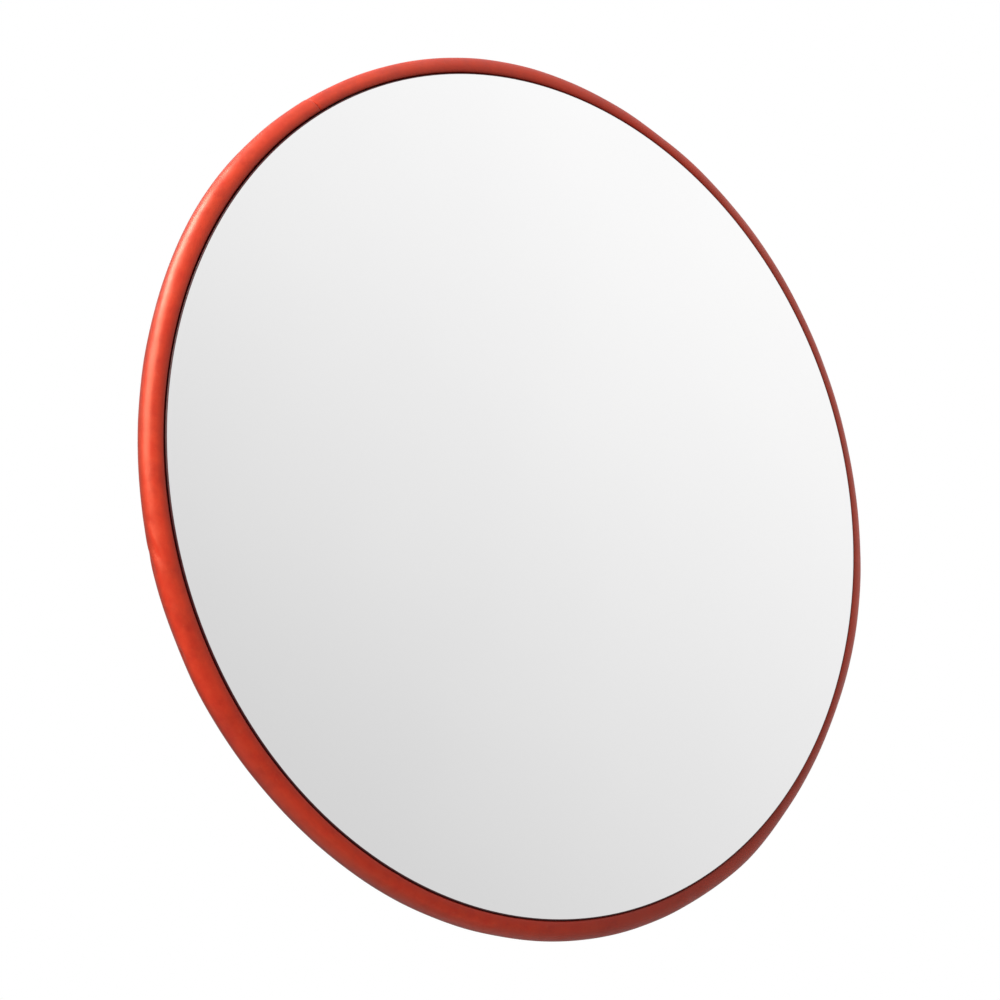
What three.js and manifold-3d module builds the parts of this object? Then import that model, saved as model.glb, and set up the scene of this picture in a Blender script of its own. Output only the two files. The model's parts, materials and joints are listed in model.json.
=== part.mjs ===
// Round convex traffic mirror on a post clamp, in millimetres, +Z up.
// The mirror faces -Y. The origin is on the post's axis, at the middle of the clamp's height.
import * as THREE from 'three';
import { mergeVertices } from 'three/addons/utils/BufferGeometryUtils.js';
import Module from 'manifold-3d';

const wasm = await Module();
wasm.setup();

// ---------------------------------------------------------------- driving dimensions

const GAP = 0.3; // kept between pieces that touch
const ROUND = 48; // sides on the large round pieces
const HOLE_SIDES = 16;
const SHANK_SIDES = 12;
const WASHER_SIDES = 12;
const DISC_SIDES = 20;
const THROUGH = 60; // length of a cutter that goes right through

const MIRROR_D = 600; // over the edge trim
const DOME_R = 1500; // radius of the mirror's curve
const LENS_T = 2.5;
const LENS_STEP_R = 287.7; // where the dome's edge drops to its flange
const LENS_STEP_FRONT = 10.3; // that edge, ahead of the trim's middle plane
const FLANGE_R = 295; // outer radius of the lens's and shell's flanges
const SEAL_T = 1.5;
const SEAL_WIDTH = 9;

const TRIM_R = 10; // radius of the trim's round section
const TRIM_BACK_LIP_R = 283.5;

const SHELL_T = 3;
const SHELL_FLANGE_T = 2.7;
const SHELL_DEPTH = 58; // trim's middle plane to the seat behind
const SHELL_WALL_R = 283.2;
const SHELL_WALL_FOOT = { inset: 1, depth: 11 }; // where the wall starts to bend, inset by its draft
const SHELL_WALL_BEND = { inset: 5, depth: 18 };
const SHELL_SHOULDER = { r: 270, depth: 23 };
const SHELL_CROWN = { r: 110, depth: 51 };
const SHELL_SEAT_R = 94;
const RIB_COUNT = 8;
const RIB_FROM_R = 118;
const RIB_TO_R = 254;
const RIB_W = 8;
const RIB_H = 4;
const DRAIN_R = 3;
const DRAIN_SPACING = 50;
const DRAIN_DROP = 258;

const SEAT_PITCH = 84; // between the seat bolts, both ways
const PLATE_T = 3;
const PLATE_SIZE = 124;
const PLATE_CORNER = 12;
const PAD_T = 2;
const PAD_SIZE = 116;
const PAD_CORNER = 10;
const YOKE_T = 4;
const YOKE_SIZE = 112;
const YOKE_CORNER = 10;

const SEAT_TO_TILT = 44; // shell's seat to the tilt axis
const TILT_TO_PAN = 50;
const PAN_TO_POST = 72;

const EYE_R = 16; // the arm's two eyes
const TILT_EYE_L = 44;
const PAN_EYE_L = 40;
const ARM_BAR = { width: 22, height: 30 };
const EAR_T = 4;
const EAR_END_R = 18;
const EAR_ROOT = 64;
const DISC_T = 1.5; // friction discs
const DISC_R = 15;

const POST_D = 76.3;
const LINER_T = 2.5;
const LINER_SET_BACK = 1; // from the hoops' split
const HOOP_T = 5;
const HOOP_H = 60;
const HOOP_SPLIT = 8; // between the two hoops' flanges
const FLANGE_REACH = 82;
const CLAMP_BOLT_X = 66;
const CLAMP_BOLT_Z = 17;
const TAB_T = 5;
const TAB_END_R = 18;
const TAB_ROOT = 62;

// across flats, head and nut heights, washer sizes
const M8 = { r: 4, flats: 13, head: 5.3, nut: 6.8, washerR: 8, washerT: 1.6, lockR: 7.4, lockT: 2 };
const M10 = { r: 5, flats: 16, head: 6.4, nut: 8.4, washerR: 10, washerT: 2, lockR: 9, lockT: 2.2 };
const M12 = { r: 6, flats: 18, head: 7.5, nut: 10.8, washerR: 12, washerT: 2.5, lockR: 10.5, lockT: 2.5 };
const THREAD_END = 4; // bolt beyond its nut

// ---------------------------------------------------------------- places along Y

const PAN_Y = -PAN_TO_POST;
const TILT_Y = PAN_Y - TILT_TO_PAN;
const SEAT_Y = TILT_Y - SEAT_TO_TILT;
const TRIM_Y = SEAT_Y - SHELL_DEPTH;

// ---------------------------------------------------------------- materials

function finish(hex, roughness, metalness) {
  return new THREE.MeshStandardMaterial({ color: hex, roughness, metalness });
}

const MIRROR = finish(0xe8eaec, 0.05, 1.0);
const TRIM_PVC = finish(0xe0532f, 0.42, 0.0);
const SHELL_ABS = finish(0xd9502c, 0.45, 0.0);
const FOAM = finish(0x2b2b2d, 0.95, 0.0);
const RUBBER = finish(0x1f2022, 0.85, 0.0);
const GALVANISED = finish(0xa9adb0, 0.45, 0.9);
const ZINC = finish(0xc3c6c8, 0.32, 1.0);
const NYLON = finish(0xe4e0d3, 0.5, 0.0);

// ---------------------------------------------------------------- solids

// One closed body with shared corners and its faces pointing out.
function closed(geometry) {
  const bare = geometry.index ? geometry.clone() : geometry;
  bare.deleteAttribute('normal');
  bare.deleteAttribute('uv');
  const merged = mergeVertices(bare, 1e-4);
  const spots = merged.attributes.position.array;
  const index = Array.from(merged.index.array);
  const faces = [];
  let volume = 0;
  for (let i = 0; i < index.length; i += 3) {
    const [a, b, c] = index.slice(i, i + 3);
    if (a === b || b === c || c === a) continue;
    faces.push([a, b, c]);
    const corner = (k) => new THREE.Vector3().fromArray(spots, 3 * k);
    volume += corner(a).dot(corner(b).cross(corner(c)));
  }
  const kept = volume < 0 ? faces.map(([a, b, c]) => [a, c, b]) : faces;
  const body = new THREE.BufferGeometry();
  body.setAttribute('position', new THREE.Float32BufferAttribute(spots, 3));
  body.setIndex(kept.flat());
  return body;
}

function toManifold(geometry) {
  const body = closed(geometry);
  return new wasm.Manifold(new wasm.Mesh({
    numProp: 3,
    vertProperties: new Float32Array(body.attributes.position.array),
    triVerts: new Uint32Array(body.index.array),
  }));
}

function toGeometry(manifold) {
  const mesh = manifold.getMesh();
  const body = new THREE.BufferGeometry();
  body.setAttribute('position', new THREE.Float32BufferAttribute(mesh.vertProperties, 3));
  body.setIndex(Array.from(mesh.triVerts));
  return body;
}

// Join the first list and cut the second out of it.
function build(joined, cuts = []) {
  let solid = toManifold(joined[0]);
  for (const piece of joined.slice(1)) solid = solid.add(toManifold(piece));
  for (const piece of cuts) solid = solid.subtract(toManifold(piece));
  return toGeometry(solid);
}

// A closed profile of [radius, y] points turned about Y.
function turned(profile, sides = ROUND) {
  const points = profile.map(([r, y]) => new THREE.Vector2(r, y));
  const onAxis = profile[0][0] === 0 && profile[profile.length - 1][0] === 0;
  if (!onAxis) points.push(points[0].clone());
  return closed(new THREE.LatheGeometry(points, sides));
}

// An outline in the XY plane raised along Z from z to z + height.
function raised(shape, z, height, steps = 6) {
  const options = { depth: height, bevelEnabled: false, curveSegments: steps };
  return new THREE.ExtrudeGeometry(shape, options).translate(0, 0, z);
}

// A cylinder along X, Y or Z, centred on a point.
function rod(axis, centre, radius, length, sides = 24) {
  const solid = new THREE.CylinderGeometry(radius, radius, length, sides);
  if (axis === 'x') solid.rotateZ(Math.PI / 2);
  if (axis === 'z') solid.rotateX(Math.PI / 2);
  return solid.translate(...centre);
}

function block(centre, size) {
  return new THREE.BoxGeometry(...size).translate(...centre);
}

function roundedSquare(size, corner) {
  const h = size / 2;
  const c = h - corner;
  const shape = new THREE.Shape();
  shape.absarc(c, c, corner, 0, Math.PI / 2);
  shape.absarc(-c, c, corner, Math.PI / 2, Math.PI);
  shape.absarc(-c, -c, corner, Math.PI, 1.5 * Math.PI);
  shape.absarc(c, -c, corner, 1.5 * Math.PI, 2 * Math.PI);
  return shape;
}

// A square plate across Y from y to y + thickness, with the four seat holes.
function seatPlate(size, corner, y, thickness) {
  const plate = raised(roundedSquare(size, corner), 0, thickness, 4);
  plate.rotateX(Math.PI / 2);
  plate.translate(0, y + thickness, 0);
  return build([plate], seatHoles(M8.r + GAP));
}

function seatSpots() {
  const p = SEAT_PITCH / 2;
  return [[p, p], [-p, p], [-p, -p], [p, -p]];
}

function seatHoles(radius) {
  return seatSpots().map(([x, z]) => rod('y', [x, SEAT_Y, z], radius, THROUGH, HOLE_SIDES));
}

// ---------------------------------------------------------------- the mirror's own pieces

// Rise of the dome above the edge of its step.
function domeRise(r) {
  return Math.sqrt(DOME_R ** 2 - r ** 2) - Math.sqrt(DOME_R ** 2 - LENS_STEP_R ** 2);
}

const LENS_FLANGE_FRONT = SEAL_T / 2 + GAP / 2 + LENS_T;

function mirrorLens() {
  const rings = 8;
  const inside = LENS_STEP_R - LENS_T;
  const front = [];
  const back = [];
  for (let i = 0; i <= rings; i += 1) {
    const share = i / rings;
    const rise = domeRise(LENS_STEP_R * share);
    front.push([LENS_STEP_R * share, TRIM_Y - LENS_STEP_FRONT - rise]);
    back.unshift([inside * share, TRIM_Y - LENS_STEP_FRONT - rise + LENS_T]);
  }
  const flange = [
    [LENS_STEP_R, TRIM_Y - LENS_FLANGE_FRONT],
    [FLANGE_R, TRIM_Y - LENS_FLANGE_FRONT],
    [FLANGE_R, TRIM_Y - LENS_FLANGE_FRONT + LENS_T],
    [inside, TRIM_Y - LENS_FLANGE_FRONT + LENS_T],
  ];
  return turned([...front, ...flange, ...back]);
}

function lensSeal() {
  const front = TRIM_Y - LENS_FLANGE_FRONT + LENS_T + GAP;
  const outer = FLANGE_R - GAP;
  return turned([
    [outer - SEAL_WIDTH, front],
    [outer, front],
    [outer, front + SEAL_T],
    [outer - SEAL_WIDTH, front + SEAL_T],
  ]);
}

const SHELL_FLANGE_FRONT = TRIM_Y - LENS_FLANGE_FRONT + LENS_T + 2 * GAP + SEAL_T;

// A round bead with a channel inside it for the two flanges.
function edgeTrim() {
  const steps = 12;
  const middle = MIRROR_D / 2 - TRIM_R;
  const frontLip = LENS_STEP_R + GAP;
  const from = Math.acos((frontLip - middle) / TRIM_R);
  const to = -Math.acos((TRIM_BACK_LIP_R - middle) / TRIM_R);
  const profile = [];
  for (let i = 0; i <= steps; i += 1) {
    const angle = from + ((to - from) * i) / steps;
    profile.push([middle + TRIM_R * Math.cos(angle), TRIM_Y - TRIM_R * Math.sin(angle)]);
  }
  const channelFront = TRIM_Y - LENS_FLANGE_FRONT - GAP;
  const channelBack = SHELL_FLANGE_FRONT + SHELL_FLANGE_T + GAP;
  profile.push([TRIM_BACK_LIP_R, channelBack]);
  profile.push([FLANGE_R + GAP, channelBack]);
  profile.push([FLANGE_R + GAP, channelFront]);
  profile.push([frontLip, channelFront]);
  return turned(profile);
}

// Depth of the shell's outside behind the trim's middle plane, on its crown.
function crownDepth(r) {
  const share = (r - SHELL_CROWN.r) / (SHELL_SHOULDER.r - SHELL_CROWN.r);
  return SHELL_CROWN.depth - (SHELL_CROWN.depth - SHELL_SHOULDER.depth) * share ** 2;
}

function shellRib(angle) {
  const steps = 5;
  const shape = new THREE.Shape();
  for (let i = 0; i <= steps; i += 1) {
    const r = RIB_FROM_R + ((RIB_TO_R - RIB_FROM_R) * i) / steps;
    const edge = i === 0 || i === steps ? 0 : RIB_H;
    if (i === 0) shape.moveTo(r, crownDepth(r));
    else shape.lineTo(r, crownDepth(r) + edge);
  }
  for (let i = steps; i >= 0; i -= 1) {
    const r = RIB_FROM_R + ((RIB_TO_R - RIB_FROM_R) * i) / steps;
    shape.lineTo(r, crownDepth(r) - SHELL_T / 2);
  }
  const rib = raised(shape, -RIB_W / 2, RIB_W, 1);
  return rib.rotateY(angle).translate(0, TRIM_Y, 0);
}

function backShell() {
  const steps = 6;
  const flangeBack = SHELL_FLANGE_FRONT + SHELL_FLANGE_T;
  const outside = [
    [FLANGE_R, flangeBack],
    [SHELL_WALL_R - GAP, flangeBack],
    [SHELL_WALL_R - SHELL_WALL_FOOT.inset, TRIM_Y + SHELL_WALL_FOOT.depth],
    [SHELL_WALL_R - SHELL_WALL_BEND.inset, TRIM_Y + SHELL_WALL_BEND.depth],
  ];
  const insideR = SHELL_WALL_R - SHELL_T;
  const inside = [
    [FLANGE_R, SHELL_FLANGE_FRONT],
    [insideR, SHELL_FLANGE_FRONT],
    [insideR - SHELL_WALL_FOOT.inset, TRIM_Y + SHELL_WALL_FOOT.depth - SHELL_T / 2],
    [insideR - SHELL_WALL_BEND.inset, TRIM_Y + SHELL_WALL_BEND.depth - SHELL_T],
  ];
  for (let i = 0; i <= steps; i += 1) {
    const r = SHELL_SHOULDER.r + ((SHELL_CROWN.r - SHELL_SHOULDER.r) * i) / steps;
    outside.push([r, TRIM_Y + crownDepth(r)]);
    inside.push([r - 1, TRIM_Y + crownDepth(r) - SHELL_T]);
  }
  outside.push([SHELL_SEAT_R, SEAT_Y], [0, SEAT_Y]);
  inside.push([SHELL_SEAT_R - 1, SEAT_Y - SHELL_T], [0, SEAT_Y - SHELL_T]);
  const dish = turned([...inside.reverse(), ...outside]);
  const ribs = [];
  for (let i = 0; i < RIB_COUNT; i += 1) ribs.push(shellRib(((i + 0.5) * 2 * Math.PI) / RIB_COUNT));
  const drains = [-1, 1].map((side) => {
    const x = (side * DRAIN_SPACING) / 2;
    return rod('y', [x, TRIM_Y + crownDepth(DRAIN_DROP), -DRAIN_DROP], DRAIN_R, THROUGH, HOLE_SIDES);
  });
  return build([dish, ...ribs], [...seatHoles(M8.r + GAP), ...drains]);
}

// ---------------------------------------------------------------- the bracket

const PLATE_Y = SEAT_Y - SHELL_T - GAP - PLATE_T;
const PAD_Y = SEAT_Y + GAP;
const YOKE_Y = PAD_Y + PAD_T + GAP;
const EAR_INSIDE = TILT_EYE_L / 2 + DISC_T + 2 * GAP;

// A tapered plate outline that ends round about the origin, with its root at a distance.
function lug(endRadius, rootWidth, reach) {
  const shape = new THREE.Shape();
  const lean = Math.atan2(rootWidth / 2 - endRadius, reach);
  shape.moveTo(reach, -rootWidth / 2);
  shape.lineTo(reach, rootWidth / 2);
  shape.absarc(0, 0, endRadius, Math.PI / 2 + lean, 1.5 * Math.PI - lean);
  return shape;
}

function yokeBracket() {
  const base = seatPlate(YOKE_SIZE, YOKE_CORNER, YOKE_Y, YOKE_T);
  const reach = TILT_Y - YOKE_Y - YOKE_T / 2;
  const ears = [-1, 1].map((side) => {
    const ear = raised(lug(EAR_END_R, EAR_ROOT, reach), -EAR_T / 2, EAR_T, 10);
    ear.rotateZ(-Math.PI / 2);
    ear.rotateY(Math.PI / 2);
    return ear.translate(side * (EAR_INSIDE + EAR_T / 2), TILT_Y, 0);
  });
  const hole = rod('x', [0, TILT_Y, 0], M12.r + GAP, 2 * (EAR_INSIDE + 2 * EAR_T));
  return build([base, ...ears], [hole]);
}

function swivelArm() {
  const bar = block([0, (TILT_Y + PAN_Y) / 2, 0], [ARM_BAR.width, TILT_TO_PAN - EYE_R, ARM_BAR.height]);
  const tiltEye = rod('x', [0, TILT_Y, 0], EYE_R, TILT_EYE_L, 32);
  const panEye = rod('z', [0, PAN_Y, 0], EYE_R, PAN_EYE_L, 32);
  const holes = [
    rod('x', [0, TILT_Y, 0], M12.r + GAP, THROUGH),
    rod('z', [0, PAN_Y, 0], M12.r + GAP, THROUGH),
  ];
  return build([bar, tiltEye, panEye], holes);
}

// ---------------------------------------------------------------- the post clamp

const LINER_IN = POST_D / 2;
const HOOP_IN = LINER_IN + LINER_T + GAP;
const HOOP_OUT = HOOP_IN + HOOP_T;
const HOOP_STEPS = 14; // of curve in half a hoop
const TAB_Z = PAN_EYE_L / 2 + DISC_T + 2 * GAP;

// Half a hoop on the -Y side of the post, with a flange at each end.
function hoopOutline() {
  const face = -HOOP_SPLIT / 2;
  const back = face - HOOP_T;
  const outer = Math.asin(back / HOOP_OUT);
  const inner = Math.asin(face / HOOP_IN);
  const shape = new THREE.Shape();
  shape.moveTo(-FLANGE_REACH, face);
  shape.lineTo(-FLANGE_REACH, back);
  shape.absarc(0, 0, HOOP_OUT, Math.PI - outer, 2 * Math.PI + outer);
  shape.lineTo(FLANGE_REACH, back);
  shape.lineTo(FLANGE_REACH, face);
  shape.absarc(0, 0, HOOP_IN, inner, -Math.PI - inner, true);
  return shape;
}

function clampHoles() {
  const holes = [];
  for (const x of [-CLAMP_BOLT_X, CLAMP_BOLT_X]) {
    for (const z of [-CLAMP_BOLT_Z, CLAMP_BOLT_Z]) {
      holes.push(rod('y', [x, 0, z], M10.r + GAP, THROUGH, HOLE_SIDES));
    }
  }
  return holes;
}

// A tab that grows out of the hoop's wall and ends round about the pan axis.
function tabOutline() {
  const rootR = HOOP_IN + HOOP_T / 2;
  const half = Math.asin(TAB_ROOT / 2 / rootR);
  const lean = Math.atan2(TAB_ROOT / 2 - TAB_END_R, PAN_TO_POST - rootR * Math.cos(half));
  const shape = new THREE.Shape();
  shape.absarc(0, 0, rootR, 1.5 * Math.PI - half, 1.5 * Math.PI + half);
  shape.absarc(0, PAN_Y, TAB_END_R, -lean, Math.PI + lean, true);
  return shape;
}

function clampFront() {
  const hoop = raised(hoopOutline(), -HOOP_H / 2, HOOP_H, HOOP_STEPS);
  const tabs = [TAB_Z, -TAB_Z - TAB_T].map((z) => raised(tabOutline(), z, TAB_T, 8));
  const pivot = rod('z', [0, PAN_Y, 0], M12.r + GAP, THROUGH);
  return build([hoop, ...tabs], [pivot, ...clampHoles()]);
}

function clampRear() {
  const hoop = raised(hoopOutline(), -HOOP_H / 2, HOOP_H, HOOP_STEPS).rotateZ(Math.PI);
  return build([hoop], clampHoles());
}

// A half ring of rubber on the -Y side of the post.
function liner() {
  const edge = Math.asin((HOOP_SPLIT / 2 + LINER_SET_BACK) / LINER_IN);
  const shape = new THREE.Shape();
  shape.absarc(0, 0, HOOP_IN - GAP, Math.PI + edge, 2 * Math.PI - edge);
  shape.absarc(0, 0, LINER_IN, 2 * Math.PI - edge, Math.PI + edge, true);
  return raised(shape, -HOOP_H / 2, HOOP_H, HOOP_STEPS);
}

// ---------------------------------------------------------------- fasteners

// Each is modelled along +Z with its lowest face at 0, except the bolt: its head is below 0.
function bolt(size, length) {
  const across = size.flats / Math.sqrt(3);
  const head = rod('z', [0, 0, (GAP - size.head) / 2], across, size.head + GAP, 6);
  const shank = rod('z', [0, 0, length / 2], size.r, length, SHANK_SIDES);
  return build([head, shank]);
}

function ring(outer, inner, thickness, sides) {
  return turned([[inner, 0], [outer, 0], [outer, thickness], [inner, thickness]], sides).rotateX(Math.PI / 2);
}

function washer(size) {
  return ring(size.washerR, size.r + GAP, size.washerT, WASHER_SIDES);
}

function frictionDisc() {
  return ring(DISC_R, M12.r + GAP, DISC_T, DISC_SIDES);
}

// A spring washer: a ring with a slit.
function lockWasher(size) {
  const slit = 0.16; // half the slit's angle, in radians
  const shape = new THREE.Shape();
  shape.absarc(0, 0, size.lockR, slit, 2 * Math.PI - slit);
  shape.absarc(0, 0, size.r + GAP, 2 * Math.PI - slit, slit, true);
  return raised(shape, 0, size.lockT, 6);
}

function nut(size) {
  const body = rod('z', [0, 0, size.nut / 2], size.flats / Math.sqrt(3), size.nut, 6);
  return build([body], [rod('z', [0, 0, 0], size.r + GAP, THROUGH, SHANK_SIDES)]);
}

// ---------------------------------------------------------------- assembly

const assembly = new THREE.Group();

function place(parent, name, geometry, material, position = [0, 0, 0]) {
  const mesh = new THREE.Mesh(closed(geometry), material);
  mesh.name = name;
  mesh.position.set(...position);
  parent.add(mesh);
}

// A group whose +Z points the way a bolt's thread does, with the bolt's head seated at `at`.
function boltLine(at, direction) {
  const line = new THREE.Group();
  line.position.set(...at);
  line.quaternion.setFromUnitVectors(new THREE.Vector3(0, 0, 1), new THREE.Vector3(...direction));
  assembly.add(line);
  return line;
}

// Bolt, then a washer, a lock washer and a nut beyond `grip`, and a washer under the head if asked.
function fasten(line, name, number, size, grip, headWasher) {
  const label = (piece) => `${name}_${piece}${number}`;
  const start = headWasher ? size.washerT + GAP : 0;
  const washerAt = grip + GAP;
  const lockAt = washerAt + size.washerT + GAP;
  const nutAt = lockAt + size.lockT + GAP;
  const length = nutAt + size.nut + THREAD_END + start + GAP;
  place(line, label('bolt'), bolt(size, length), ZINC, [0, 0, -start - GAP]);
  if (headWasher) place(line, label('head_washer'), washer(size), ZINC, [0, 0, -size.washerT - GAP]);
  place(line, label('washer'), washer(size), ZINC, [0, 0, washerAt]);
  place(line, label('lock_washer'), lockWasher(size), ZINC, [0, 0, lockAt]);
  place(line, label('nut'), nut(size), ZINC, [0, 0, nutAt]);
}

place(assembly, 'mirror_lens', mirrorLens(), MIRROR);
place(assembly, 'lens_seal', lensSeal(), FOAM);
place(assembly, 'edge_trim', edgeTrim(), TRIM_PVC);
place(assembly, 'back_shell', backShell(), SHELL_ABS);
place(assembly, 'stiffener_plate', seatPlate(PLATE_SIZE, PLATE_CORNER, PLATE_Y, PLATE_T), GALVANISED);
place(assembly, 'mount_pad', seatPlate(PAD_SIZE, PAD_CORNER, PAD_Y, PAD_T), RUBBER);
place(assembly, 'yoke_bracket', yokeBracket(), GALVANISED);

seatSpots().forEach(([x, z], i) => {
  const line = boltLine([x, PLATE_Y, z], [0, 1, 0]);
  fasten(line, 'seat', `_${i + 1}`, M8, YOKE_Y + YOKE_T - PLATE_Y, false);
});

place(assembly, 'swivel_arm', swivelArm(), GALVANISED);
const tiltDiscs = { left: -TILT_EYE_L / 2 - GAP - DISC_T, right: TILT_EYE_L / 2 + GAP };
for (const [side, x] of Object.entries(tiltDiscs)) {
  place(assembly, `tilt_friction_disc_${side}`, frictionDisc().rotateY(Math.PI / 2), NYLON, [x, TILT_Y, 0]);
}
const panDiscs = { lower: -PAN_EYE_L / 2 - GAP - DISC_T, upper: PAN_EYE_L / 2 + GAP };
for (const [side, z] of Object.entries(panDiscs)) {
  place(assembly, `pan_friction_disc_${side}`, frictionDisc(), NYLON, [0, PAN_Y, z]);
}

const tiltLine = boltLine([-EAR_INSIDE - EAR_T, TILT_Y, 0], [1, 0, 0]);
fasten(tiltLine, 'tilt', '', M12, 2 * (EAR_INSIDE + EAR_T), true);
const panLine = boltLine([0, PAN_Y, TAB_Z + TAB_T], [0, 0, -1]);
fasten(panLine, 'pan', '', M12, 2 * (TAB_Z + TAB_T), true);

place(assembly, 'clamp_front', clampFront(), GALVANISED);
place(assembly, 'clamp_rear', clampRear(), GALVANISED);
place(assembly, 'clamp_liner_front', liner(), RUBBER);
place(assembly, 'clamp_liner_rear', liner().rotateZ(Math.PI), RUBBER);

let clampNumber = 0;
for (const x of [-CLAMP_BOLT_X, CLAMP_BOLT_X]) {
  for (const z of [CLAMP_BOLT_Z, -CLAMP_BOLT_Z]) {
    clampNumber += 1;
    const line = boltLine([x, -HOOP_SPLIT / 2 - HOOP_T, z], [0, 1, 0]);
    fasten(line, 'clamp', `_${clampNumber}`, M10, HOOP_SPLIT + 2 * HOOP_T, false);
  }
}

export default assembly;
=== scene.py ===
import json
import math

import bmesh
import bpy
from mathutils import Matrix, Vector, noise


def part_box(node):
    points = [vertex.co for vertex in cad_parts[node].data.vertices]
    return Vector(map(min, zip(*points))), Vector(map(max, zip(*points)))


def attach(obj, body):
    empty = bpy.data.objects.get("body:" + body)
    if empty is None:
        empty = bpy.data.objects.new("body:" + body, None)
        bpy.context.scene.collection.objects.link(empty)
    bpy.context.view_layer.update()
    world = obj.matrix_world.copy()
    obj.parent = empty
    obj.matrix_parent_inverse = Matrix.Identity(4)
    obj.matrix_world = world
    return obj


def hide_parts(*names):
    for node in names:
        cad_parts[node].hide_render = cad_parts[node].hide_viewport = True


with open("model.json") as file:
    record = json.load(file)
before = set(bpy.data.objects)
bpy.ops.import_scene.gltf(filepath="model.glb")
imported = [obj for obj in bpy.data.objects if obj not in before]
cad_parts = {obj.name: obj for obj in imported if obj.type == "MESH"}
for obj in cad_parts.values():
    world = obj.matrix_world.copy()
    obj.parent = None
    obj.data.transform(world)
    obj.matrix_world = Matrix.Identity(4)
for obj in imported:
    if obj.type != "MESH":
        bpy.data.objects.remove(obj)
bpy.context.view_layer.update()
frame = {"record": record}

MM = 0.001
TURN = 2 * math.pi
BODY_OF = {node: body for body, nodes in frame["record"]["behaviour"]["bodies"].items() for node in nodes}


def centre(node):
    low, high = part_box(node)
    return (low + high) / 2


def extent(node):
    low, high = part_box(node)
    return high - low


# ---------------------------------------------------------------- sizes, worked out from the frame

TRIM_Y = centre("edge_trim").y
MIRROR_R = extent("edge_trim").x / 2
BEAD_R = extent("edge_trim").y / 2
BEAD_CENTRE_R = MIRROR_R - BEAD_R
FLANGE_R = extent("mirror_lens").x / 2
SEAT_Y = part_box("back_shell")[1].y
TILT_Y = centre("tilt_bolt").y
PAN_Y = centre("pan_bolt").y
HOOP_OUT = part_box("clamp_rear")[1].y
HOOP_H = extent("clamp_rear").z
FLANGE_X = extent("clamp_rear").x / 2

DOME_R = 1500 * MM
LENS_T = 2.5 * MM
LENS_STEP_R = 287.7 * MM
DOME_RISE = DOME_R - math.sqrt(DOME_R ** 2 - LENS_STEP_R ** 2)
LENS_STEP_FRONT = TRIM_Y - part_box("mirror_lens")[0].y - DOME_RISE
SHELL_T = 3 * MM
SHELL_SHOULDER_R = 270 * MM
SHELL_SHOULDER_DEPTH = 23 * MM
SHELL_CROWN_R = 110 * MM
SHELL_CROWN_DEPTH = 51 * MM
SHELL_SEAT_R = 94 * MM
RIB_COUNT = 8
RIB_FROM_R = 117 * MM
RIB_TO_R = 256 * MM
RIB_H = 4.0 * MM
DRAIN_R = 3 * MM
DRAIN_X = 25 * MM
DRAIN_DROP = 258 * MM
HOOP_T = 5 * MM
POST_R = 38.15 * MM
GAP = 0.3 * MM  # kept between pieces that touch

# Holes for the M8, M10 and M12 bolts
SEAT_HOLE_R = 4.4 * MM
CLAMP_HOLE_R = 5.3 * MM
PIVOT_HOLE_R = 6.3 * MM
THROUGH = 40 * MM
LUG_END_R = 18 * MM
WELD_RIPPLE = 2.4 * MM


# ---------------------------------------------------------------- materials


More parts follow.
